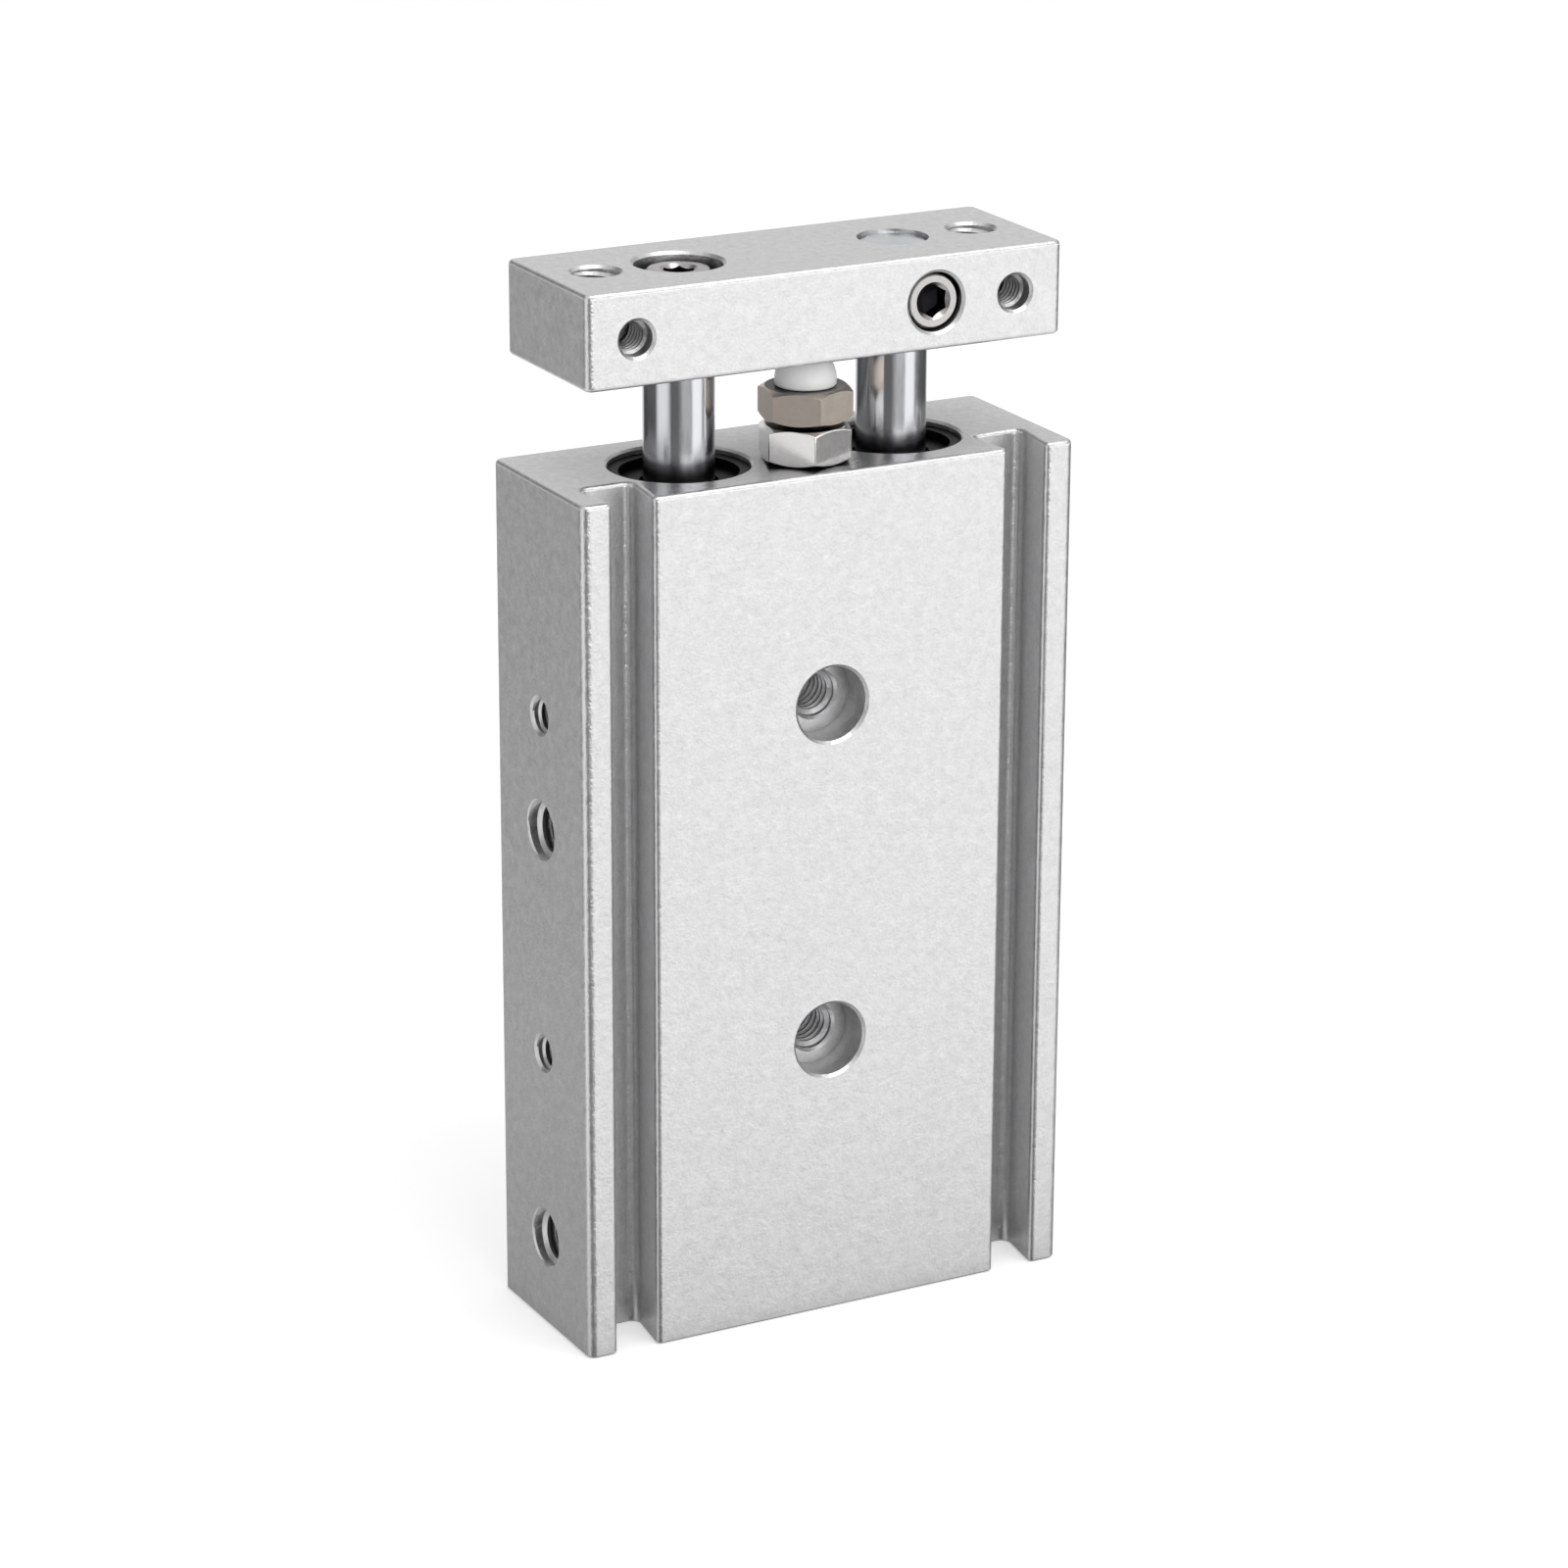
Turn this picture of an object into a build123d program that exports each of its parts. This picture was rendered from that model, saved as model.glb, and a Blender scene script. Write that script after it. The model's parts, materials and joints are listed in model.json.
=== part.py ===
from build123d import *
import os
from math import asin, cos, degrees, pi, radians, sin, sqrt, tan

# A guided pneumatic cylinder: two piston rods side by side in one body, joined by a plate.
# The origin is the centre of the body's bottom face. +Z runs up along the rods, +X points to
# the right, and the grooved front face looks along -Y. Millimetres and degrees.

# Body
BODY_WIDTH = 46.0
BODY_DEPTH = 17.0
BODY_HEIGHT = 75.0
BODY_CORNER_RADIUS = 0.8
BODY_TOP_RADIUS = 0.4
BODY_BOTTOM_CHAMFER = 0.2

# Sensor grooves in the front face
GROOVE_EDGE_DISTANCE = 4.6
GROOVE_OPENING = 3.6
GROOVE_UNDERCUT = 0.7
GROOVE_DEPTH = 5.3
GROOVE_FLOOR_RADIUS = 0.8
GROOVE_MOUTH_RADIUS = 0.5

# Rods, bores and stroke
ROD_SPACING = 20.0
ROD_DIAMETER = 6.0
BORE_DIAMETER = 10.0
STROKE = 20.0
SPIGOT_DIAMETER = 4.0
ROD_END_CHAMFER = 0.3

# Clearances: radial for round fits, one gap for faces
RUNNING = 0.02
HELD = 0.02
PISTON_RUNNING = 0.05
LOOSE = 0.3

# Threads, modelled as plain cylinders at the nominal size, and the bevel at the rim of a hole
M3 = 3.0
M4 = 4.0
M5 = 5.0
RIM_BEVEL = 0.25

# Through holes across the body, counterbored on both faces
MOUNT_LOW = 25.0
MOUNT_SPACING = 30.0
COUNTERBORE_DIAMETER = 6.5
COUNTERBORE_DEPTH = 3.3

# Tapped holes and air ports in the side faces
SIDE_HOLE_DEPTH = 5.0
PORT_HEAD_HEIGHT = 8.0
PORT_ROD_HEIGHT = 45.0
PORT_DEPTH = 4.5
PORT_BEVEL = 0.15
AIRWAY_DIAMETER = 2.0
AIRWAY_MARGIN = 1.0
PLUG_LENGTH = 4.0
PLUG_RECESS = 0.3

# Retaining rings, cut from flat spring steel
RING_THICKNESS = 0.8
RING_BAND = 1.2
RING_GROOVE_DEPTH = 0.3
RING_SLACK = 0.05
RING_GAP = 1.8
RING_EAR_RADIUS = 1.1
RING_EAR_HOLE = 1.0

# Rod end of each bore, from the top face down
MOUTH_DIAMETER = 12.0
MOUTH_BEVEL = 0.2
ROD_RING_RECESS = 0.6
ROD_RING_TURN = 62.0
RETAINER_HEIGHT = 3.6
RETAINER_ROOF = 1.2
RETAINER_WALL = 1.3
COVER_FLANGE = 2.0
COVER_NECK_CLEARANCE = 0.6
COVER_POCKET_DEPTH = 0.4
COVER_POCKET_LENGTH = 8.0
COVER_POCKET_DROP = 10.0
SEAL_NOTCH = 0.5
SEAL_SLACK = 0.1

# O-rings of the rod covers and head covers
ORING_SECTION = 1.0
ORING_SQUEEZE_GAP = 0.05
ORING_GROOVE_WIDTH = 1.3
COVER_ORING_DROP = 5.5

# Head end of each bore, from the bottom face up
HEAD_RECESS_DIAMETER = 11.0
HEAD_RING_RECESS = 1.1
HEAD_RING_TURN = 90.0
HEAD_FLANGE = 1.5
HEAD_SPIGOT = 2.6
HEAD_BUMPER_THICKNESS = 1.0
HEAD_BUMPER_HOLE = 3.0
BUMPER_RING_WALL = 1.3

# Piston, from its bottom up
PISTON_REST_GAP = 2.3
SPIGOT_TIP = 0.3
NUT_ACROSS = 7.0
NUT_HEIGHT = 2.4
MAGNET_HOLDER_HEIGHT = 1.4
MAGNET_HEIGHT = 2.5
MAGNET_INSET = 0.3
PISTON_HEIGHT = 4.6
PISTON_SEAL_HEIGHT = 1.8
PISTON_SEAL_DEPTH = 1.5
ROD_BUMPER_HEIGHT = 1.0
END_CLEARANCE = 0.3

# Plate
PLATE_WIDTH = 44.0
PLATE_DEPTH = 15.0
PLATE_THICKNESS = 8.0
PLATE_GAP = 9.0
PLATE_CORNER_RADIUS = 0.7
PLATE_EDGE_RADIUS = 0.4
PLATE_HOLE_SPACING = 35.0
PLATE_FRONT_HOLE_DEPTH = 4.5
ROD_SEAT_DEPTH = 1.2
ROD_END_RECESS = 0.3

# Cap screw in the left rod, set screw on the right rod
CAP_HEAD_DIAMETER = 5.5
CAP_HEAD_HEIGHT = 3.0
CAP_POCKET_DIAMETER = 7.4
CAP_POCKET_DEPTH = 3.5
CAP_SCREW_LENGTH = 10.0
SCREW_HOLE_SPARE = 1.5
SOCKET_ACROSS = 2.5
SOCKET_DEPTH = 1.6
SET_SCREW_RECESS = 0.5
SET_SCREW_POINT = 3.5
ROD_FLAT_DEPTH = 0.3

# Stop bolt, its lock nut and its bumper, on one axis in front of the rods
BOLT_FORWARD = 3.4
BOLT_RAISE = 0.35
BOLT_HEAD_HEIGHT = 2.8
BOLT_LENGTH = 16.0
BOLT_TURN = 20.5
LOCK_NUT_HEIGHT = 3.1
LOCK_NUT_TURN = 14.0
LOCK_NUT_SEAT = 0.05
BUMPER_DIAMETER = 5.2
BUMPER_BAND = 0.5
BUMPER_TIP_DIAMETER = 2.4
BUMPER_GAP = 0.1
BUMPER_STEM_DIAMETER = 2.9
BUMPER_STEM_LENGTH = 1.5
BUMPER_SEAT = 0.05
HEX_CORNER_ANGLE = 30.0
HEX_FLAT_SHARE = 0.97

# Heights and places that follow from the sizes above
LEFT = -ROD_SPACING / 2
RIGHT = ROD_SPACING / 2
SIDES = {"left": LEFT, "right": RIGHT}
FRONT = -BODY_DEPTH / 2
MOUNT_HEIGHTS = [MOUNT_LOW, MOUNT_LOW + MOUNT_SPACING]
PORT_HEIGHTS = [PORT_HEAD_HEIGHT, PORT_ROD_HEIGHT]

ROD_RING_LOW = BODY_HEIGHT - ROD_RING_RECESS - RING_THICKNESS
RETAINER_LOW = ROD_RING_LOW - RETAINER_HEIGHT
MOUTH_FLOOR = RETAINER_LOW - COVER_FLANGE
COVER_ORING_HEIGHT = MOUTH_FLOOR - COVER_ORING_DROP
COVER_POCKET_HIGH = MOUTH_FLOOR - COVER_POCKET_DROP

HEAD_COVER_LOW = HEAD_RING_RECESS + RING_THICKNESS
HEAD_SHOULDER = HEAD_COVER_LOW + HEAD_FLANGE
HEAD_COVER_HIGH = HEAD_SHOULDER + HEAD_SPIGOT
HEAD_BUMPER_HIGH = HEAD_COVER_HIGH + HEAD_BUMPER_THICKNESS

ROD_LOW = HEAD_BUMPER_HIGH + PISTON_REST_GAP
PISTON_NUT_LOW = ROD_LOW + SPIGOT_TIP
MAGNET_HOLDER_LOW = PISTON_NUT_LOW + NUT_HEIGHT
MAGNET_LOW = MAGNET_HOLDER_LOW + MAGNET_HOLDER_HEIGHT
PISTON_LOW = MAGNET_LOW + MAGNET_HEIGHT
ROD_SHOULDER = PISTON_LOW + PISTON_HEIGHT
ROD_BUMPER_HIGH = ROD_SHOULDER + ROD_BUMPER_HEIGHT
COVER_LOW = ROD_BUMPER_HIGH + STROKE + END_CLEARANCE
COVER_NECK_HIGH = PORT_ROD_HEIGHT + AIRWAY_DIAMETER / 2 + AIRWAY_MARGIN

PLATE_LOW = BODY_HEIGHT + PLATE_GAP
PLATE_HIGH = PLATE_LOW + PLATE_THICKNESS
PLATE_MIDDLE = PLATE_LOW + PLATE_THICKNESS / 2
PLATE_FRONT = -PLATE_DEPTH / 2
LEFT_ROD_HIGH = PLATE_LOW + ROD_SEAT_DEPTH
RIGHT_ROD_HIGH = PLATE_HIGH - ROD_END_RECESS
CAP_HEAD_LOW = PLATE_HIGH - CAP_POCKET_DEPTH
SET_SCREW_TIP = ROD_FLAT_DEPTH - ROD_DIAMETER / 2

LOCK_NUT_LOW = BODY_HEIGHT + LOCK_NUT_SEAT
BOLT_HEAD_LOW = LOCK_NUT_LOW + LOCK_NUT_HEIGHT + BOLT_RAISE
BOLT_HEAD_HIGH = BOLT_HEAD_LOW + BOLT_HEAD_HEIGHT
BOLT_TIP = BOLT_HEAD_LOW - BOLT_LENGTH
BUMPER_HIGH = PLATE_LOW - BUMPER_GAP

COVER_DIAMETER = BORE_DIAMETER - 2 * HELD
ORING_FLOOR_RADIUS = BORE_DIAMETER / 2 - ORING_SECTION - ORING_SQUEEZE_GAP
PISTON_RADIUS = BORE_DIAMETER / 2 - PISTON_RUNNING


def bar(x, z_low, z_high, diameter):
    """Upright round bar on the plane y = 0."""
    return Pos(x, 0, (z_low + z_high) / 2) * Cylinder(diameter / 2, z_high - z_low)


def turned(x, outline):
    """Solid turned about the upright axis at x, from its outline of (radius, height) points."""
    points = [(x + radius, 0, height) for radius, height in outline]
    return revolve(make_face(Polyline(*points, close=True)), Axis((x, 0, 0), (0, 0, 1)))


def ring(x, z_low, z_high, inner_diameter, outer_diameter):
    """Plain upright ring."""
    return bar(x, z_low, z_high, outer_diameter) - bar(x, z_low, z_high, inner_diameter)


def hole(mouth, outward, diameter, depth, bevel):
    """Cutter for a bevelled round hole, with mouth on the face and outward pointing out of it."""
    face = Plane(origin=mouth, z_dir=outward).location
    shaft = face * Pos(0, 0, -depth / 2) * Cylinder(diameter / 2, depth)
    rim = face * Pos(0, 0, -bevel / 2) * Cone(diameter / 2, diameter / 2 + bevel, bevel)
    return shaft + rim


def hexagon(across, turn):
    """Flat hexagon, with a corner on its x axis before the turn."""
    return Rot(0, 0, turn) * RegularPolygon(across / 2, 6, major_radius=False)


def hex_block(across, z_low, height, turn):
    """Hexagonal block on the middle axis, with its corners turned off at both ends."""
    flat_radius = across / 2 * HEX_FLAT_SHARE
    corner_radius = across / sqrt(3)
    drop = (corner_radius - flat_radius) * tan(radians(HEX_CORNER_ANGLE))
    z_high = z_low + height
    envelope = [(0, z_low), (flat_radius, z_low), (corner_radius, z_low + drop),
                (corner_radius, z_high - drop), (flat_radius, z_high), (0, z_high)]
    block = Pos(0, 0, z_low) * extrude(hexagon(across, turn), height)
    return block & turned(0, envelope)


def groove_outline():
    """Outline of one sensor groove, open towards -Y, centred on x = 0 with its mouth on y = 0."""
    mouth = GROOVE_OPENING / 2
    wide = mouth + GROOVE_UNDERCUT
    points = [(-mouth, 0), (-wide, GROOVE_DEPTH), (wide, GROOVE_DEPTH), (mouth, 0)]
    outline = make_face(Polyline(*points, close=True))
    corners = outline.vertices().sort_by(Axis.Y)[-2:]
    return fillet(corners, GROOVE_FLOOR_RADIUS)


def body_block():
    """Extruded body with its grooves and broken edges, before drilling."""
    groove_x = BODY_WIDTH / 2 - GROOVE_EDGE_DISTANCE
    section = Rectangle(BODY_WIDTH, BODY_DEPTH)
    section = fillet(section.vertices(), BODY_CORNER_RADIUS)
    for x in (-groove_x, groove_x):
        section -= Pos(x, FRONT) * groove_outline()
    lips = [v for v in section.vertices()
            if abs(v.Y - FRONT) < GROOVE_MOUTH_RADIUS
            and abs(abs(v.X) - groove_x) < GROOVE_OPENING / 2 + GROOVE_MOUTH_RADIUS / 2]
    section = fillet(lips, GROOVE_MOUTH_RADIUS)
    block = extrude(section, BODY_HEIGHT)
    block = fillet(block.faces().sort_by(Axis.Z)[-1].outer_wire().edges(), BODY_TOP_RADIUS)
    return chamfer(block.faces().sort_by(Axis.Z)[0].outer_wire().edges(), BODY_BOTTOM_CHAMFER)


def bore_cutter(x):
    """One stepped bore, with the mouths and ring grooves at both ends."""
    radius = BORE_DIAMETER / 2
    mouth = MOUTH_DIAMETER / 2
    recess = HEAD_RECESS_DIAMETER / 2
    head_groove_low = HEAD_RING_RECESS - RING_SLACK
    head_groove_high = HEAD_COVER_LOW + RING_SLACK
    rod_groove_low = ROD_RING_LOW - RING_SLACK
    rod_groove_high = ROD_RING_LOW + RING_THICKNESS + RING_SLACK
    return turned(x, [
        (0, 0), (recess + MOUTH_BEVEL, 0), (recess, MOUTH_BEVEL),
        (recess, head_groove_low), (recess + RING_GROOVE_DEPTH, head_groove_low),
        (recess + RING_GROOVE_DEPTH, head_groove_high), (recess, head_groove_high),
        (recess, HEAD_SHOULDER), (radius, HEAD_SHOULDER),
        (radius, MOUTH_FLOOR), (mouth, MOUTH_FLOOR),
        (mouth, rod_groove_low), (mouth + RING_GROOVE_DEPTH, rod_groove_low),
        (mouth + RING_GROOVE_DEPTH, rod_groove_high), (mouth, rod_groove_high),
        (mouth, BODY_HEIGHT - MOUTH_BEVEL), (mouth + MOUTH_BEVEL, BODY_HEIGHT), (0, BODY_HEIGHT)])


def mount_cutter(z):
    """One through hole across the body, counterbored and bevelled on both faces."""
    cutter = Pos(0, 0, z) * Rot(90, 0, 0) * Cylinder(M4 / 2, BODY_DEPTH)
    for outward in (-1, 1):
        face = (0, outward * BODY_DEPTH / 2, z)
        floor = (0, outward * (BODY_DEPTH / 2 - COUNTERBORE_DEPTH), z)
        cutter += hole(face, (0, outward, 0), COUNTERBORE_DIAMETER, COUNTERBORE_DEPTH, RIM_BEVEL)
        cutter += hole(floor, (0, outward, 0), M4, RIM_BEVEL, RIM_BEVEL)
    return cutter


def side_cutters():
    """Tapped holes, air ports and airways entered from the two side faces."""
    side = BODY_WIDTH / 2
    cutters = []
    for outward in (-1, 1):
        for z in MOUNT_HEIGHTS:
            mouth = (outward * side, 0, z)
            cutters.append(hole(mouth, (outward, 0, 0), M3, SIDE_HOLE_DEPTH, RIM_BEVEL))
    airway_length = BODY_WIDTH - 2 * PORT_DEPTH
    for z in PORT_HEIGHTS:
        cutters.append(hole((-side, 0, z), (-1, 0, 0), M5, PORT_DEPTH, PORT_BEVEL))
        cutters.append(hole((side, 0, z), (1, 0, 0), M5 + 2 * HELD, PORT_DEPTH, RIM_BEVEL))
        cutters.append(Pos(0, 0, z) * Rot(0, 90, 0) * Cylinder(AIRWAY_DIAMETER / 2, airway_length))
    return cutters


def make_housing():
    housing = body_block()
    for x in SIDES.values():
        housing -= bore_cutter(x)
    for z in MOUNT_HEIGHTS:
        housing -= mount_cutter(z)
    for cutter in side_cutters():
        housing -= cutter
    bolt_hole_depth = BODY_HEIGHT - BOLT_TIP + SCREW_HOLE_SPARE
    mouth = (0, -BOLT_FORWARD, BODY_HEIGHT)
    return housing - hole(mouth, (0, 0, 1), M4 + 2 * RUNNING, bolt_hole_depth, RIM_BEVEL)


def make_rod_cover(x):
    """Bearing bush for the rod, with a grease pocket, an O-ring groove and a flange."""
    inner = ROD_DIAMETER / 2 + RUNNING
    outer = COVER_DIAMETER / 2
    neck = BORE_DIAMETER / 2 - COVER_NECK_CLEARANCE
    flange = MOUTH_DIAMETER / 2 - HELD
    pocket = inner + COVER_POCKET_DEPTH
    pocket_low = COVER_POCKET_HIGH - COVER_POCKET_LENGTH
    groove_low = COVER_ORING_HEIGHT - ORING_GROOVE_WIDTH / 2
    groove_high = COVER_ORING_HEIGHT + ORING_GROOVE_WIDTH / 2
    return turned(x, [
        (inner, COVER_LOW), (neck, COVER_LOW), (neck, COVER_NECK_HIGH), (outer, COVER_NECK_HIGH),
        (outer, groove_low), (ORING_FLOOR_RADIUS, groove_low),
        (ORING_FLOOR_RADIUS, groove_high), (outer, groove_high),
        (outer, MOUTH_FLOOR), (flange, MOUTH_FLOOR), (flange, RETAINER_LOW), (inner, RETAINER_LOW),
        (inner, COVER_POCKET_HIGH), (pocket, COVER_POCKET_HIGH),
        (pocket, pocket_low), (inner, pocket_low)])


def make_o_ring(x, z):
    """O-ring seated in its groove, just clear of the bore wall."""
    return Pos(x, 0, z) * Torus(ORING_FLOOR_RADIUS + ORING_SECTION / 2, ORING_SECTION / 2)


def make_rod_seal(x):
    """U-shaped rod seal that opens downwards to the pressure."""
    inner = ROD_DIAMETER / 2 + RUNNING
    outer = MOUTH_DIAMETER / 2 - RETAINER_WALL - HELD
    low = RETAINER_LOW + SEAL_SLACK
    high = RETAINER_LOW + RETAINER_HEIGHT - RETAINER_ROOF - SEAL_SLACK
    middle = (inner + outer) / 2
    return turned(x, [
        (inner, low), (middle - SEAL_NOTCH, low), (middle, (low + high) / 2),
        (middle + SEAL_NOTCH, low), (outer, low), (outer, high), (inner, high)])


def make_seal_retainer(x):
    """Cup that holds the rod seal down on the rod cover."""
    outer = MOUTH_DIAMETER / 2 - HELD
    pocket = MOUTH_DIAMETER / 2 - RETAINER_WALL
    opening = ROD_DIAMETER / 2 + LOOSE
    high = RETAINER_LOW + RETAINER_HEIGHT
    roof = high - RETAINER_ROOF
    return turned(x, [
        (pocket, RETAINER_LOW), (outer, RETAINER_LOW), (outer, high), (opening, high),
        (opening, roof), (pocket, roof)])


def make_retaining_ring(x, z_low, recess_diameter, turn):
    """Open spring ring with two eyed ears, sprung into its groove."""
    outer = recess_diameter / 2 + RING_GROOVE_DEPTH - RING_SLACK
    ear_radius = outer - RING_EAR_RADIUS
    ear_angle = degrees(asin((RING_GAP / 2 + RING_EAR_RADIUS) / ear_radius))
    section = Circle(outer) - Circle(outer - RING_BAND)
    section -= Pos(outer / 2, 0) * Rectangle(outer, RING_GAP)
    for angle in (-ear_angle, ear_angle):
        ear = Rot(0, 0, angle) * Pos(ear_radius, 0)
        section += ear * Circle(RING_EAR_RADIUS)
        section -= ear * Circle(RING_EAR_HOLE / 2)
    return Pos(x, 0, z_low) * Rot(0, 0, turn) * extrude(section, RING_THICKNESS)


def make_head_cover(x):
    """Plug for the bottom of the bore, held between a shoulder and its ring."""
    flange = HEAD_RECESS_DIAMETER / 2 - HELD
    outer = COVER_DIAMETER / 2
    groove_low = head_o_ring_height() - ORING_GROOVE_WIDTH / 2
    groove_high = head_o_ring_height() + ORING_GROOVE_WIDTH / 2
    return turned(x, [
        (0, HEAD_COVER_LOW), (flange, HEAD_COVER_LOW), (flange, HEAD_SHOULDER),
        (outer, HEAD_SHOULDER), (outer, groove_low), (ORING_FLOOR_RADIUS, groove_low),
        (ORING_FLOOR_RADIUS, groove_high), (outer, groove_high),
        (outer, HEAD_COVER_HIGH), (0, HEAD_COVER_HIGH)])


def head_o_ring_height():
    return (HEAD_SHOULDER + HEAD_COVER_HIGH) / 2


def make_piston_rod(x, z_high):
    """Rod with a spigot below for the piston and a broken edge on top."""
    radius = ROD_DIAMETER / 2
    return turned(x, [
        (0, ROD_LOW), (SPIGOT_DIAMETER / 2, ROD_LOW), (SPIGOT_DIAMETER / 2, ROD_SHOULDER),
        (radius, ROD_SHOULDER), (radius, z_high - ROD_END_CHAMFER),
        (radius - ROD_END_CHAMFER, z_high), (0, z_high)])


def make_left_rod():
    """Left rod, drilled and tapped in its top for the cap screw."""
    screw_hole_low = CAP_HEAD_LOW - CAP_SCREW_LENGTH - SCREW_HOLE_SPARE
    rod = make_piston_rod(LEFT, LEFT_ROD_HIGH)
    return rod - bar(LEFT, screw_hole_low, LEFT_ROD_HIGH, M3 + 2 * HELD)


def make_right_rod():
    """Right rod, spotted flat for the point of the set screw."""
    seat = Plane(origin=(RIGHT, SET_SCREW_TIP, PLATE_MIDDLE), z_dir=(0, -1, 0)).location
    spot = seat * Pos(0, 0, ROD_DIAMETER / 2) * Cylinder(M5 / 2, ROD_DIAMETER)
    return make_piston_rod(RIGHT, RIGHT_ROD_HIGH) - spot


def make_piston(x):
    """Upper half of the piston, with the seal groove."""
    inner = SPIGOT_DIAMETER / 2 + HELD
    middle = PISTON_LOW + PISTON_HEIGHT / 2
    groove = PISTON_RADIUS - PISTON_SEAL_DEPTH
    half = PISTON_SEAL_HEIGHT / 2 + SEAL_SLACK
    return turned(x, [
        (inner, PISTON_LOW), (PISTON_RADIUS, PISTON_LOW), (PISTON_RADIUS, middle - half),
        (groove, middle - half), (groove, middle + half), (PISTON_RADIUS, middle + half),
        (PISTON_RADIUS, ROD_SHOULDER), (inner, ROD_SHOULDER)])


def make_piston_seal(x):
    """Piston seal, standing a little out of its groove."""
    middle = PISTON_LOW + PISTON_HEIGHT / 2
    inner_diameter = 2 * (PISTON_RADIUS - PISTON_SEAL_DEPTH + HELD)
    outer_diameter = BORE_DIAMETER - 2 * RUNNING
    half = PISTON_SEAL_HEIGHT / 2
    return ring(x, middle - half, middle + half, inner_diameter, outer_diameter)


def make_magnet(x):
    inner_diameter = SPIGOT_DIAMETER + 2 * HELD
    return ring(x, MAGNET_LOW, PISTON_LOW, inner_diameter, 2 * (PISTON_RADIUS - MAGNET_INSET))


def make_magnet_holder(x):
    """Lower half of the piston, which clamps the magnet."""
    return ring(x, MAGNET_HOLDER_LOW, MAGNET_LOW, SPIGOT_DIAMETER + 2 * HELD, 2 * PISTON_RADIUS)


def make_piston_nut(x):
    nut = Pos(x, 0, 0) * hex_block(NUT_ACROSS, PISTON_NUT_LOW, NUT_HEIGHT, 0)
    return nut - bar(x, PISTON_NUT_LOW, MAGNET_HOLDER_LOW, SPIGOT_DIAMETER + 2 * HELD)


def make_rod_bumper(x):
    """Soft ring round the rod that cushions the end of the outward stroke."""
    inner_diameter = ROD_DIAMETER + 2 * HELD
    outer_diameter = inner_diameter + 2 * BUMPER_RING_WALL
    return ring(x, ROD_SHOULDER, ROD_BUMPER_HIGH, inner_diameter, outer_diameter)


def make_head_bumper(x):
    """Soft disc on the head cover that cushions the piston nut."""
    outer_diameter = ROD_DIAMETER + 2 * BUMPER_RING_WALL
    return ring(x, HEAD_COVER_HIGH, HEAD_BUMPER_HIGH, HEAD_BUMPER_HOLE, outer_diameter)


def socket_cutter(mouth, outward, turn):
    """Cutter for a hexagon socket."""
    face = Plane(origin=mouth, z_dir=outward).location
    return face * Pos(0, 0, -SOCKET_DEPTH) * extrude(hexagon(SOCKET_ACROSS, turn), SOCKET_DEPTH)


def plate_block():
    """Plate with its edges rounded, before drilling."""
    block = Pos(0, 0, PLATE_MIDDLE) * Box(PLATE_WIDTH, PLATE_DEPTH, PLATE_THICKNESS)
    block = fillet(block.edges().filter_by(Axis.Z), PLATE_CORNER_RADIUS)
    level_faces = block.faces().sort_by(Axis.Z)
    return fillet(level_faces[-1].edges() + level_faces[0].edges(), PLATE_EDGE_RADIUS)


def make_plate():
    plate = plate_block()
    for x in (-PLATE_HOLE_SPACING / 2, PLATE_HOLE_SPACING / 2):
        plate -= hole((x, 0, PLATE_HIGH), (0, 0, 1), M4, PLATE_THICKNESS, RIM_BEVEL)
        front_mouth = (x, PLATE_FRONT, PLATE_MIDDLE)
        plate -= hole(front_mouth, (0, -1, 0), M3, PLATE_FRONT_HOLE_DEPTH, RIM_BEVEL)
    plate -= hole((LEFT, 0, PLATE_HIGH), (0, 0, 1), CAP_POCKET_DIAMETER, CAP_POCKET_DEPTH, RIM_BEVEL)
    plate -= bar(LEFT, PLATE_LOW, PLATE_HIGH, M3 + 2 * LOOSE)
    plate -= bar(LEFT, PLATE_LOW, LEFT_ROD_HIGH, ROD_DIAMETER + 2 * HELD)
    plate -= bar(RIGHT, PLATE_LOW, PLATE_HIGH, ROD_DIAMETER + 2 * HELD)
    set_mouth = (RIGHT, PLATE_FRONT, PLATE_MIDDLE)
    return plate - hole(set_mouth, (0, -1, 0), M5 + 2 * HELD, PLATE_DEPTH / 2, RIM_BEVEL)


def make_cap_screw():
    """Socket head cap screw that pulls the plate onto the left rod."""
    head_high = CAP_HEAD_LOW + CAP_HEAD_HEIGHT
    head_radius = CAP_HEAD_DIAMETER / 2
    screw_low = CAP_HEAD_LOW - CAP_SCREW_LENGTH
    screw = turned(LEFT, [
        (0, screw_low), (M3 / 2, screw_low), (M3 / 2, CAP_HEAD_LOW), (head_radius, CAP_HEAD_LOW),
        (head_radius, head_high - RIM_BEVEL), (head_radius - RIM_BEVEL, head_high), (0, head_high)])
    return screw - socket_cutter((LEFT, 0, head_high), (0, 0, 1), 0)


def make_set_screw():
    """Set screw in the plate's front face, bearing on the right rod's flat."""
    head = PLATE_FRONT + SET_SCREW_RECESS
    length = SET_SCREW_TIP - head
    point_length = (M5 - SET_SCREW_POINT) / 2
    axis = Plane(origin=(RIGHT, head, PLATE_MIDDLE), z_dir=(0, -1, 0)).location
    shank_length = length - point_length
    shank = axis * Pos(0, 0, -shank_length / 2) * Cylinder(M5 / 2, shank_length)
    point = axis * Pos(0, 0, point_length / 2 - length)
    screw = shank + point * Cone(SET_SCREW_POINT / 2, M5 / 2, point_length)
    return screw - socket_cutter((RIGHT, head, PLATE_MIDDLE), (0, -1, 0), 90)


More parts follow.
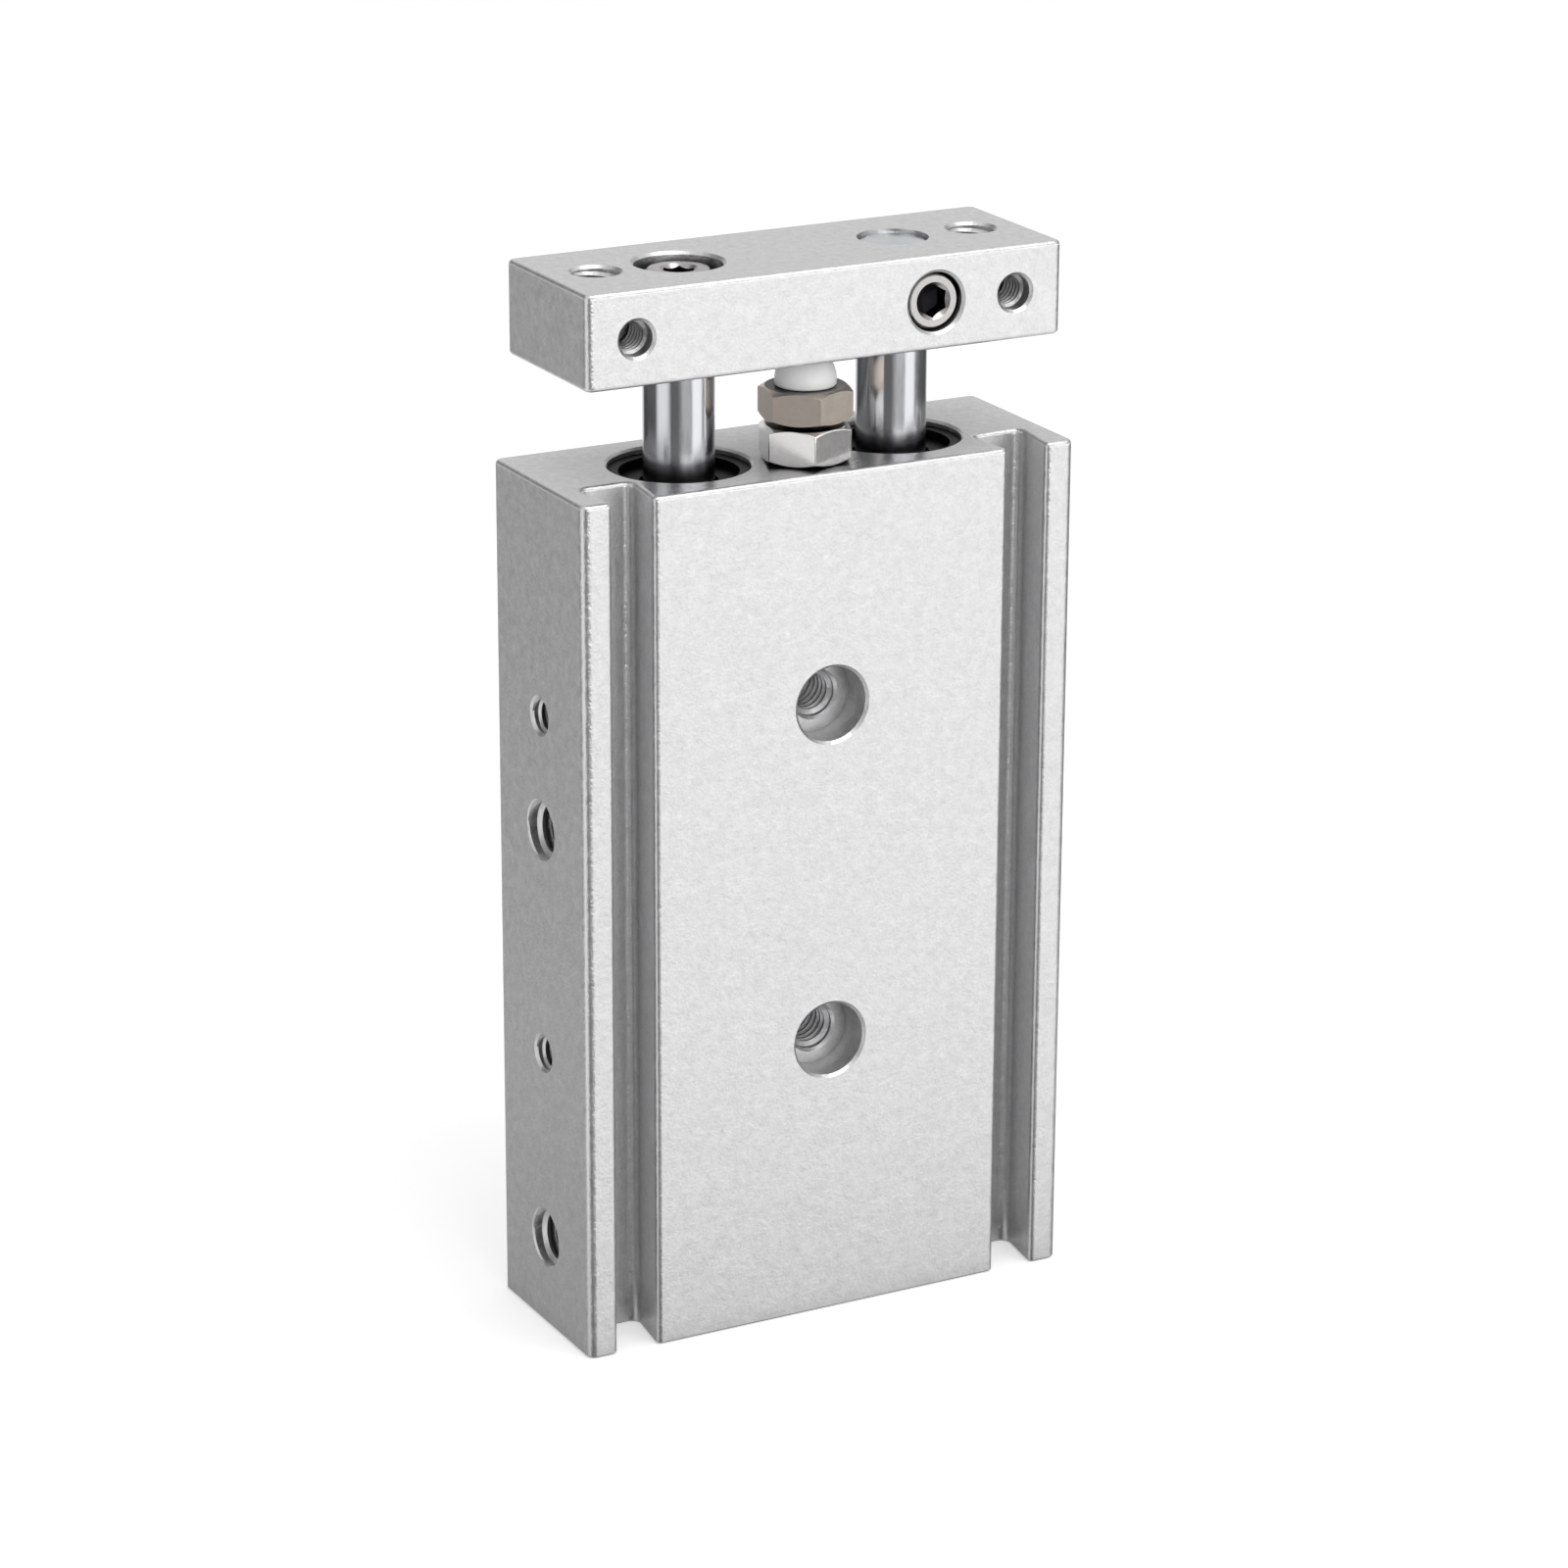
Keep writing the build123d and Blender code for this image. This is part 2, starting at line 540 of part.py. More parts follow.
def make_bumper_bolt():
    """Hexagon stop bolt between the rods, with a pocket in its head for the bumper."""
    head = hex_block(NUT_ACROSS, BOLT_HEAD_LOW, BOLT_HEAD_HEIGHT, BOLT_TURN)
    bolt = head + bar(0, BOLT_TIP, BOLT_HEAD_LOW, M4)
    pocket_low = BOLT_HEAD_HIGH - BUMPER_STEM_LENGTH
    bolt -= bar(0, pocket_low, BOLT_HEAD_HIGH, BUMPER_STEM_DIAMETER + 2 * RUNNING)
    return Pos(0, -BOLT_FORWARD, 0) * bolt


def make_bumper():
    """Soft domed bumper with a stem in the bolt's head."""
    base = BUMPER_DIAMETER / 2
    tip = BUMPER_TIP_DIAMETER / 2
    seat = BOLT_HEAD_HIGH + BUMPER_SEAT
    shoulder = seat + BUMPER_BAND
    dome_height = BUMPER_HIGH - shoulder
    bulge = (tip + (base - tip) * cos(pi / 4), 0, shoulder + dome_height * sin(pi / 4))
    side = ThreePointArc((base, 0, shoulder), bulge, (tip, 0, BUMPER_HIGH))
    lines = [Line((tip, 0, BUMPER_HIGH), (0, 0, BUMPER_HIGH)), Line((0, 0, BUMPER_HIGH), (0, 0, seat)),
             Line((0, 0, seat), (base, 0, seat)), Line((base, 0, seat), (base, 0, shoulder))]
    dome = revolve(make_face([side] + lines), Axis.Z)
    stem_low = seat - BUMPER_STEM_LENGTH
    bumper = dome + bar(0, stem_low, seat, BUMPER_STEM_DIAMETER)
    return Pos(0, -BOLT_FORWARD, 0) * bumper


def make_lock_nut():
    nut = hex_block(NUT_ACROSS, LOCK_NUT_LOW, LOCK_NUT_HEIGHT, LOCK_NUT_TURN)
    nut -= bar(0, LOCK_NUT_LOW, LOCK_NUT_LOW + LOCK_NUT_HEIGHT, M4 + 2 * RUNNING)
    return Pos(0, -BOLT_FORWARD, 0) * nut


def make_port_plugs():
    """Socket plugs that close the two spare ports in the right side face."""
    head = BODY_WIDTH / 2 - PLUG_RECESS
    plugs = []
    for z in PORT_HEIGHTS:
        plug = Pos(head - PLUG_LENGTH / 2, 0, z) * Rot(0, 90, 0) * Cylinder(M5 / 2, PLUG_LENGTH)
        plugs.append(plug - socket_cutter((head, 0, z), (1, 0, 0), 0))
    return Compound(children=plugs)


def all_parts():
    """Every piece under the name of its file."""
    parts = {
        "housing": make_housing(),
        "port_plugs": make_port_plugs(),
        "plate": make_plate(),
        "piston_rod_left": make_left_rod(),
        "piston_rod_right": make_right_rod(),
        "plate_cap_screw": make_cap_screw(),
        "rod_set_screw": make_set_screw(),
        "bumper_bolt": make_bumper_bolt(),
        "bumper": make_bumper(),
        "lock_nut": make_lock_nut(),
    }
    for side, x in SIDES.items():
        parts["rod_cover_" + side] = make_rod_cover(x)
        parts["rod_cover_o_ring_" + side] = make_o_ring(x, COVER_ORING_HEIGHT)
        parts["rod_seal_" + side] = make_rod_seal(x)
        parts["seal_retainer_" + side] = make_seal_retainer(x)
        parts["rod_retaining_ring_" + side] = make_retaining_ring(
            x, ROD_RING_LOW, MOUTH_DIAMETER, ROD_RING_TURN)
        parts["head_cover_" + side] = make_head_cover(x)
        parts["head_cover_o_ring_" + side] = make_o_ring(x, head_o_ring_height())
        parts["head_retaining_ring_" + side] = make_retaining_ring(
            x, HEAD_RING_RECESS, HEAD_RECESS_DIAMETER, HEAD_RING_TURN)
        parts["head_bumper_" + side] = make_head_bumper(x)
        parts["piston_" + side] = make_piston(x)
        parts["piston_seal_" + side] = make_piston_seal(x)
        parts["magnet_" + side] = make_magnet(x)
        parts["magnet_holder_" + side] = make_magnet_holder(x)
        parts["piston_nut_" + side] = make_piston_nut(x)
        parts["rod_bumper_" + side] = make_rod_bumper(x)
    return parts


os.makedirs("parts", exist_ok=True)
for name, shape in all_parts().items():
    export_step(shape, f"parts/{name}.step")
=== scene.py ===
import bpy
import json
from math import atan2, cos, pi, radians, sin, sqrt, tan
from mathutils import Matrix, Quaternion, Vector


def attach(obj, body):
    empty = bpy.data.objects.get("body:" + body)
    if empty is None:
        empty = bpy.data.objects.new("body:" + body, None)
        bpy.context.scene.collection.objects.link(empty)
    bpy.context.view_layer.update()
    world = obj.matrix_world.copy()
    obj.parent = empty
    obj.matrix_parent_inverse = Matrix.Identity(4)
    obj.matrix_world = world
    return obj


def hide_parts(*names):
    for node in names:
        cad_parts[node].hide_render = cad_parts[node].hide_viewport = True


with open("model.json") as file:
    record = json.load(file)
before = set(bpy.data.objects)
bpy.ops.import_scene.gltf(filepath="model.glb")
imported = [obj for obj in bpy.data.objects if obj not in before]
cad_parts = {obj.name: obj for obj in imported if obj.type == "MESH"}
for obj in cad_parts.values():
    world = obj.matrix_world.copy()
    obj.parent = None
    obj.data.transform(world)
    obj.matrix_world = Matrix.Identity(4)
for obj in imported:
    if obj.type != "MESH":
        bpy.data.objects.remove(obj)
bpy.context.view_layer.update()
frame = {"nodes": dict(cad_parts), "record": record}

MM = 0.001

# Places on the cylinder, in metres
HALF_WIDTH = 23 * MM
HALF_DEPTH = 8.5 * MM
BODY_TOP = 75 * MM
PLATE_TOP = 92 * MM
PLATE_MIDDLE = 88 * MM
PLATE_FRONT = -7.5 * MM
ROD_AXES = {"left": -10 * MM, "right": 10 * MM}
PLATE_HOLES = {"left": -17.5 * MM, "right": 17.5 * MM}
HOLE_HEIGHTS = {"low": 25 * MM, "high": 55 * MM}
PORT_HEIGHTS = {"low": 8 * MM, "high": 45 * MM}
COUNTERBORE_FLOOR = -5.2 * MM

# Head of the stop bolt and its lock nut, with their turns in degrees
BOLT_AXIS = (0.0, -3.4 * MM)
HEAD_LOW = 78.5 * MM
HEAD_HIGH = 81.3 * MM
HEAD_TURN = 20.5
NUT_LOW = 75.05 * MM
NUT_HIGH = 78.15 * MM
NUT_TURN = 14.0

# Standard hardware: nominal radius and pitch of a thread, hexagons and sockets
M3 = (1.5 * MM, 0.5 * MM)
M4 = (2.0 * MM, 0.7 * MM)
M5 = (2.5 * MM, 0.8 * MM)
HEX_ACROSS = 7.0 * MM
HEX_FACE_RADIUS = 3.395 * MM
HEX_CHAMFER_SLOPE = tan(radians(30.0))
SOCKET_ACROSS = 2.5 * MM
SOCKET_CORNER = SOCKET_ACROSS / sqrt(3)
SOCKET_DEPTH = 1.6 * MM
SOCKET_CONE = 0.35 * MM
SOCKET_TIP = 0.3 * MM
SOCKET_MOUTH_SLOPE = 0.9

# Points round a turned piece
ROUND = 96
ROD_ROUND = 160
KNURL_ROUND = 288

# Camera: the photo's viewing angle, as fitted to the straight edges of the object
CAMERA_PLACE = Vector((-0.194575, -0.363947, 0.187003))
CAMERA_TURN = Quaternion((0.7898129, 0.5634476, -0.1424274, -0.1960532))
CAMERA_LENS = 117.458
CAMERA_SENSOR = 36.0

# Azimuth of the direction from the object to the camera, in radians
CAMERA_AZIMUTH = atan2(-0.8342, -0.4459)

# Looks: the two levels that noise mostly keeps within, how far grain changes a roughness, and the shares
# of a normal along one axis from which a face starts and fully counts as level, or as flat and upright
NOISE_LOW = 0.3
NOISE_HIGH = 0.7
ROUGHNESS_CHANGE = 0.08
LEVEL_SHARES = (0.95, 0.99)
UPRIGHT_SHARES = (0.985, 0.999)

BLACK = (0.0, 0.0, 0.0, 1.0)
WHITE = (1.0, 1.0, 1.0, 1.0)
FLOOR_DROP = 0.02 * MM


def make_camera():
    camera = bpy.data.cameras.new("photo_camera")
    camera.lens = CAMERA_LENS
    camera.sensor_width = CAMERA_SENSOR
    camera.sensor_fit = "HORIZONTAL"
    camera.clip_start = 0.01
    camera.clip_end = 20.0
    holder = bpy.data.objects.new("photo_camera", camera)
    holder.matrix_world = Matrix.Translation(CAMERA_PLACE) @ CAMERA_TURN.to_matrix().to_4x4()
    bpy.context.scene.collection.objects.link(holder)
    bpy.context.scene.camera = holder


# Shader nodes

class Nodes:
    """Adds and links shader nodes in one tree."""

    def __init__(self, owner):
        owner.use_nodes = True
        self.tree = owner.node_tree
        self.tree.nodes.clear()

    def add(self, kind, inputs=None, **settings):
        node = self.tree.nodes.new(kind)
        for name, value in settings.items():
            setattr(node, name, value)
        for name, value in (inputs or {}).items():
            self.put(node.inputs[name], value)
        return node

    def put(self, socket, value):
        if isinstance(value, bpy.types.NodeSocket):
            self.tree.links.new(value, socket)
        else:
            socket.default_value = value

    def math(self, operation, a, b=0.0):
        return self.add("ShaderNodeMath", {0: a, 1: b}, operation=operation).outputs[0]

    def vector_math(self, operation, a, b=(0.0, 0.0, 0.0)):
        return self.add("ShaderNodeVectorMath", {0: a, 1: b}, operation=operation).outputs

    def coordinates(self, name):
        return self.add("ShaderNodeTexCoord").outputs[name]

    def parts(self, vector):
        return self.add("ShaderNodeSeparateXYZ", {"Vector": vector}).outputs

    def smooth(self, value, low, high, to_low=0.0, to_high=1.0):
        node = self.add("ShaderNodeMapRange", {
            "Value": value, "From Min": low, "From Max": high, "To Min": to_low, "To Max": to_high},
            interpolation_type="SMOOTHSTEP")
        return node.outputs["Result"]

    def noise(self, vector, scale, detail, roughness):
        node = self.add("ShaderNodeTexNoise", {
            "Vector": vector, "Scale": scale, "Detail": detail, "Roughness": roughness})
        return node.outputs["Fac"]

    def ramp(self, value, stops):
        node = self.add("ShaderNodeValToRGB", {"Fac": value})
        elements = node.color_ramp.elements
        while len(elements) < len(stops):
            elements.new(0.5)
        for element, (place, shade) in zip(elements, stops):
            element.position = place
            element.color = (*shade, 1.0)
        return node.outputs["Color"]

    def bump(self, height, strength, distance):
        node = self.add("ShaderNodeBump", {"Height": height, "Strength": strength, "Distance": distance})
        return node.outputs["Normal"]

    def seen_directly(self):
        """1 for rays from the camera, also through glass."""
        path = self.add("ShaderNodeLightPath").outputs
        return self.math("MAXIMUM", path["Is Camera Ray"], path["Is Transmission Ray"])

    def finish(self, output_kind, surface):
        output = self.add(output_kind)
        self.put(output.inputs["Surface"], surface)


def tint(base, factor):
    return tuple(min(1.0, channel * factor) for channel in base)


def near_heights(nodes, heights):
    """1 within 0.1 mm of one of the heights, 0 beyond 0.3 mm."""
    place = nodes.parts(nodes.coordinates("Object"))["Z"]
    near = 0.0
    for height in heights:
        offset = nodes.math("ABSOLUTE", nodes.math("SUBTRACT", place, height))
        near = nodes.math("ADD", near, nodes.smooth(offset, 0.3 * MM, 0.1 * MM))
    return near


def paint_cavity_shade(nodes, colour, level, painted_shade_keep, painted_shade_reach):
    """Colour with painted shade: only cavity of it left deep inside holes, and level faces darkened under
    what stands over them.
    """
    painted_shade_under_reach, fully_open = 10 * MM, 0.75
    reach = nodes.smooth(level, 0.0, 1.0, painted_shade_reach, painted_shade_under_reach)
    openness = nodes.add("ShaderNodeAmbientOcclusion", {"Distance": reach}, samples=8).outputs["AO"]
    keep = nodes.smooth(openness, 0.0, fully_open, painted_shade_keep, 1.0)
    painted_shade_under = nodes.math("MULTIPLY", nodes.math("SUBTRACT", openness, keep), level)
    keep = nodes.math("ADD", keep, painted_shade_under)
    mix = nodes.add("ShaderNodeMix", {6: colour, 7: BLACK}, data_type="RGBA")
    nodes.put(mix.inputs[0], nodes.math("SUBTRACT", 1.0, keep))
    return mix.outputs[2]


def metal(name, base, roughness, grain, relief, spread, stretch=1.0, painted_shade_keep=1.0, painted_shade_reach=0.0,
          level_roughness=None, curved_roughness=None, streak=0.0, tops=()):
    """Metal with fine grain in its colour, roughness and relief; grain is the size of its marks in metres and
    stretch their scale along Z. cavity is how much of its colour is left where the painted shade deep inside
    holes is darkest, out to painted_shade_reach; level faces also get painted shade under what stands over
    them.
    level_roughness is for level faces, curved_roughness for rounded edges and bores. streak is how far
    grinding round the upright axis draws highlights out along it. tops are the heights of the level faces;
    with none given, every level facet counts as one."""
    material = bpy.data.materials.new(name)
    nodes = Nodes(material)
    place = nodes.add("ShaderNodeMapping", {
        "Vector": nodes.coordinates("Object"), "Scale": (1, 1, stretch)}).outputs["Vector"]
    fine = nodes.noise(place, 1.0 / grain, detail=2.0, roughness=0.6)
    broad = nodes.noise(place, 0.3 / grain, detail=2.0, roughness=0.55)
    mixed = nodes.math("ADD", nodes.math("MULTIPLY", fine, 0.5), nodes.math("MULTIPLY", broad, 0.5))
    colour = nodes.ramp(mixed, [
        (NOISE_LOW, tint(base, 1 - spread)), (0.5, base), (NOISE_HIGH, tint(base, 1 + spread))])
    normal = nodes.add("ShaderNodeNewGeometry").outputs["True Normal"]
    facing = nodes.parts(nodes.vector_math("ABSOLUTE", normal)["Vector"])
    level = nodes.smooth(facing["Z"], *LEVEL_SHARES)
    if tops:
        level = nodes.math("MULTIPLY", level, near_heights(nodes, tops))
    # Painted shade: colour darkened deep in holes and on level faces under what stands over them
    if painted_shade_keep < 1.0:
        colour = paint_cavity_shade(nodes, colour, level, painted_shade_keep, painted_shade_reach)
    change = roughness * ROUGHNESS_CHANGE
    rough = nodes.smooth(mixed, NOISE_LOW, NOISE_HIGH, roughness - change, roughness + change)
    if level_roughness is not None:
        side = nodes.math("MAXIMUM", facing["X"], facing["Y"])
        finish = nodes.smooth(side, *UPRIGHT_SHARES, curved_roughness / roughness, 1.0)
        to_level = nodes.math("MULTIPLY", nodes.math("SUBTRACT", level_roughness / roughness, finish), level)
        rough = nodes.math("MULTIPLY", rough, nodes.math("ADD", finish, to_level))
    shader = nodes.add("ShaderNodeBsdfPrincipled", {
        "Base Color": colour, "Roughness": rough, "Metallic": 1.0,
        "Normal": nodes.bump(mixed, relief, distance=0.35 * grain)})
    if streak > 0.0:
        quarter_turn = 0.25
        tangent = nodes.add("ShaderNodeTangent", direction_type="RADIAL", axis="Z")
        nodes.put(shader.inputs["Anisotropic"], streak)
        nodes.put(shader.inputs["Anisotropic Rotation"], quarter_turn)
        nodes.put(shader.inputs["Tangent"], tangent.outputs["Tangent"])
    nodes.finish("ShaderNodeOutputMaterial", shader.outputs["BSDF"])
    return material


def rubber(name, base, roughness):
    """Moulded rubber or plastic with a slight uneven sheen."""
    grain = 0.2 * MM
    material = bpy.data.materials.new(name)
    nodes = Nodes(material)
    fine = nodes.noise(nodes.coordinates("Object"), 1.0 / grain, detail=2.0, roughness=0.6)
    colour = nodes.ramp(fine, [(NOISE_LOW, tint(base, 0.9)), (NOISE_HIGH, tint(base, 1.08))])
    rough = nodes.smooth(fine, NOISE_LOW, NOISE_HIGH, roughness - 0.06, roughness + 0.06)
    normal = nodes.bump(fine, strength=0.2, distance=0.2 * grain)
    shader = nodes.add("ShaderNodeBsdfPrincipled", {
        "Base Color": colour, "Roughness": rough, "Normal": normal})
    nodes.finish("ShaderNodeOutputMaterial", shader.outputs["BSDF"])
    return material


def translucent_plastic(name):
    """Milky moulded urethane."""
    material = bpy.data.materials.new(name)
    nodes = Nodes(material)
    cloud = nodes.noise(nodes.coordinates("Object"), 1200.0, detail=3.0, roughness=0.5)
    colour = nodes.ramp(cloud, [(NOISE_LOW, (0.85, 0.86, 0.85)), (NOISE_HIGH, (0.91, 0.92, 0.91))])
    rough = nodes.smooth(cloud, NOISE_LOW, NOISE_HIGH, 0.3, 0.42)
    normal = nodes.bump(cloud, strength=0.15, distance=0.05 * MM)
    shader = nodes.add("ShaderNodeBsdfPrincipled", {
        "Base Color": colour, "Roughness": rough, "Normal": normal,
        "Subsurface Weight": 0.35, "Subsurface Radius": (1.0, 1.0, 0.95), "Subsurface Scale": 1.2 * MM})
    nodes.finish("ShaderNodeOutputMaterial", shader.outputs["BSDF"])
    return material


def make_materials():
    return {
        # cavity and painted_shade_reach paint shade into the colour, deep in holes and on level faces under
        # what stands over them
        "anodised": metal(
            "blasted_aluminium", (0.74, 0.74, 0.745), roughness=0.50, grain=0.24 * MM, relief=0.7,
            spread=0.12, painted_shade_keep=0.45, painted_shade_reach=4.6 * MM, level_roughness=0.22, curved_roughness=0.34,
            tops=(BODY_TOP, PLATE_TOP)),
        "chromed": metal(
            "ground_chrome", (0.66, 0.67, 0.69), roughness=0.15, grain=0.12 * MM, relief=0.06, spread=0.02,
            stretch=0.12, streak=0.88),
        "nickel": metal(
            "warm_nickel", (0.74, 0.66, 0.58), roughness=0.33, grain=0.12 * MM, relief=0.2, spread=0.05,
            painted_shade_keep=0.3, painted_shade_reach=1.5 * MM),
        "zinc": metal(
            "bright_zinc", (0.82, 0.81, 0.80), roughness=0.17, grain=0.10 * MM, relief=0.15, spread=0.05,
            painted_shade_keep=0.3, painted_shade_reach=1.5 * MM),
        "screw_steel": metal(
            "screw_steel", (0.50, 0.49, 0.48), roughness=0.22, grain=0.08 * MM, relief=0.15, spread=0.08,
            painted_shade_keep=0.02, painted_shade_reach=2.2 * MM),
        # Black oxide, which the screws' sockets also wear as painted shade
        "black_steel": metal(
            "black_oxide_and_socket_shade", (0.020, 0.020, 0.022), roughness=0.50, grain=0.08 * MM, relief=0.2, spread=0.12),
        "black_anodised": metal(
            "black_anodised", (0.036, 0.036, 0.038), roughness=0.50, grain=0.08 * MM, relief=0.2,
            spread=0.12),
        "bearing_alloy": metal(
            "bearing_alloy", (0.68, 0.66, 0.62), roughness=0.32, grain=0.12 * MM, relief=0.2, spread=0.05,
            stretch=6),
        "machined": metal(
            "machined_aluminium", (0.78, 0.78, 0.78), roughness=0.28, grain=0.12 * MM, relief=0.2,
            spread=0.05, stretch=6),
        "magnet": metal(
            "sintered_magnet", (0.18, 0.18, 0.19), roughness=0.5, grain=0.10 * MM, relief=0.4, spread=0.12),
        "nitrile": rubber("nitrile", (0.03, 0.03, 0.03), 0.45),
        "urethane": translucent_plastic("milky_urethane"),
        "dark_urethane": rubber("dark_urethane", (0.10, 0.10, 0.10), 0.5),
    }


# Geometry helpers; every piece is a closed mesh

def mesh_piece(name, points, faces, material, body, sharp):
    """Adds a piece to the scene; edges over sharp degrees stay hard."""
    mesh = bpy.data.meshes.new(name)
    mesh.from_pydata(points, [], faces)
    mesh.validate()
    mesh.shade_smooth()
    mesh.set_sharp_from_angle(angle=radians(sharp))
    mesh.materials.append(material)
    piece = bpy.data.objects.new(name, mesh)
    bpy.context.scene.collection.objects.link(piece)
    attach(piece, body)
    return piece


def skin(rings, closed_profile=False):
    """Points and faces of a solid swept through rings of equally many points."""
    count = len(rings[0])
    points = [point for ring in rings for point in ring]
    faces = []
    spans = len(rings) if closed_profile else len(rings) - 1
    for i in range(spans):
        low = i * count
        high = (i + 1) % len(rings) * count
        for j in range(count):
            k = (j + 1) % count
            faces.append((low + j, low + k, high + k, high + j))
    if not closed_profile:
        faces.append(tuple(reversed(range(count))))
        faces.append(tuple(range(len(points) - count, len(points))))
    return points, faces


def round_ring(radius, z, count=ROUND):
    return [(radius * cos(2 * pi * j / count), radius * sin(2 * pi * j / count), z) for j in range(count)]


def hex_ring(across, z_of, count=ROUND):
    """Ring along a hexagon with a corner on +X; z_of gives the height from the distance to the axis."""
    ring = []
    for j in range(count):
        angle = 2 * pi * j / count
        radius = across / 2 / cos(angle % (pi / 3) - pi / 6)
        ring.append((radius * cos(angle), radius * sin(angle), z_of(radius)))
    return ring


def chamfered_hex_rings(low, high):
    """Side of a hexagon from low to high with both of its faces chamfered."""
    return [hex_ring(HEX_ACROSS, lambda r: low + (r - HEX_FACE_RADIUS) * HEX_CHAMFER_SLOPE),
            hex_ring(HEX_ACROSS, lambda r: high - (r - HEX_FACE_RADIUS) * HEX_CHAMFER_SLOPE)]


def socket_rings(face, lip, drop, count):
    """Hexagon socket below a face, with a bevelled mouth lip wide and drop deep."""
    mouth = face - drop
    return [
        round_ring(SOCKET_CORNER + lip, face, count),
        round_ring(SOCKET_CORNER, mouth, count),
        hex_ring(SOCKET_ACROSS, lambda r: mouth - (SOCKET_CORNER - r) * SOCKET_MOUTH_SLOPE, count),
        hex_ring(SOCKET_ACROSS, lambda r: face - SOCKET_DEPTH, count),
        round_ring(SOCKET_TIP, face - SOCKET_DEPTH - SOCKET_CONE, count)]


def placed(points, origin, axis):
    """Points of a piece built along +Z, moved so that its +Z is axis and its origin is origin."""
    turn = Vector(axis).to_track_quat("Z", "Y")
    matrix = Matrix.Translation(Vector(origin)) @ turn.to_matrix().to_4x4()
    return [tuple(matrix @ Vector(point)) for point in points]


def on_bolt_axis(points, degrees=0.0):
    """Points turned about the upright axis and moved onto the stop bolt's."""
    turn = Matrix.Rotation(radians(degrees), 4, "Z")
    matrix = Matrix.Translation((*BOLT_AXIS, 0.0)) @ turn
    return [tuple(matrix @ Vector(point)) for point in points]


def lathe(outline, x, count=ROUND):
    """Rings of a solid turned about the upright axis at x; outline is a closed list of (radius, z)."""
    return [[(x + radius * cos(2 * pi * j / count), radius * sin(2 * pi * j / count), z)
             for j in range(count)] for radius, z in outline]


def arc(centre, radius, start, end, steps):
    """Points of (radius, z) along a circular arc, angles in degrees from the outward direction."""
    return [(centre[0] + radius * cos(radians(start + (end - start) * i / steps)),
             centre[1] + radius * sin(radians(start + (end - start) * i / steps))) for i in range(steps + 1)]


def soften(piece, width):
    """Rounds the hard edges so that they catch the light."""
    bevel = piece.modifiers.new("edge", "BEVEL")
    bevel.width = width
    bevel.segments = 3
    bevel.limit_method = "ANGLE"
    bevel.angle_limit = radians(30.0)


# Threads

def thread_ridge(wall, pitch, start, length):
    """One helical ridge standing inwards from a hole's wall, along +Z from start, with run-out ends."""
    steps = 48
    run_out = steps / 3
    sink, least = 0.02 * MM, 0.004 * MM
    depth, half_root, half_tip = 0.54 * pitch, 0.49 * pitch, 0.125 * pitch
    root = wall + sink
    total = int(length / pitch * steps)
    rings = []
    for i in range(total + 1):
        angle = 2 * pi * i / steps
        fade = min(1.0, i / run_out, (total - i) / run_out)
        tip = wall - max(depth * fade, least)
        z = start + pitch * i / steps
        profile = ((root, -half_root), (tip, -half_tip), (tip, half_tip), (root, half_root))
        rings.append([(radius * cos(angle), radius * sin(angle), z + dz) for radius, dz in profile])
    return skin(rings)


def hole_thread(name, mouth, inward, size, start, length, material, body):
    """Thread in a tapped hole, with mouth on the face and inward pointing into it."""
    points, faces = thread_ridge(*size, start, length)
    mesh_piece(name, placed(points, mouth, inward), faces, material, body, sharp=25.0)


def threaded_rings(root, crest, pitch, z_low, z_high):
    """Rings of a screw's thread from z_low to z_high, right-handed about +Z, with flat crests and roots."""
    steps = 12
    steepness, cut = 2.2, 0.6
    levels = int((z_high - z_low) / pitch * steps)
    rings = []
    for i in range(levels + 1):
        z = z_low + (z_high - z_low) * i / levels
        ring = []
        for j in range(ROUND):
            angle = 2 * pi * j / ROUND
            phase = (z / pitch - j / ROUND) % 1.0
            wave = min(1.0, max(0.0, steepness * abs(2 * phase - 1) - cut))
            radius = root + (crest - root) * wave
            ring.append((radius * cos(angle), radius * sin(angle), z))
        rings.append(ring)
    return rings


# Pieces

def make_rods(materials):
    """Ground and chromed rods, with a fine broken edge on top."""
    spigot, rod = 2.0 * MM, 3.0 * MM
    spigot_low, shoulder = 9.3 * MM, 20.5 * MM
    tops = {"left": 85.2 * MM, "right": 91.7 * MM}
    for side, x in ROD_AXES.items():
        top = tops[side]
        outline = [
            (spigot - 0.2 * MM, spigot_low), (spigot, spigot_low + 0.2 * MM), (spigot, shoulder),
            (rod - 0.1 * MM, shoulder), (rod, shoulder + 0.1 * MM), (rod, top - 0.3 * MM),
            (rod - 0.07 * MM, top - 0.12 * MM), (rod - 0.3 * MM, top)]
        points, faces = skin(lathe(outline, x, ROD_ROUND))
        piece = mesh_piece(
            "rod_" + side, points, faces, materials["chromed"], "carriage", sharp=20.0)
        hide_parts("piston_rod_" + side)


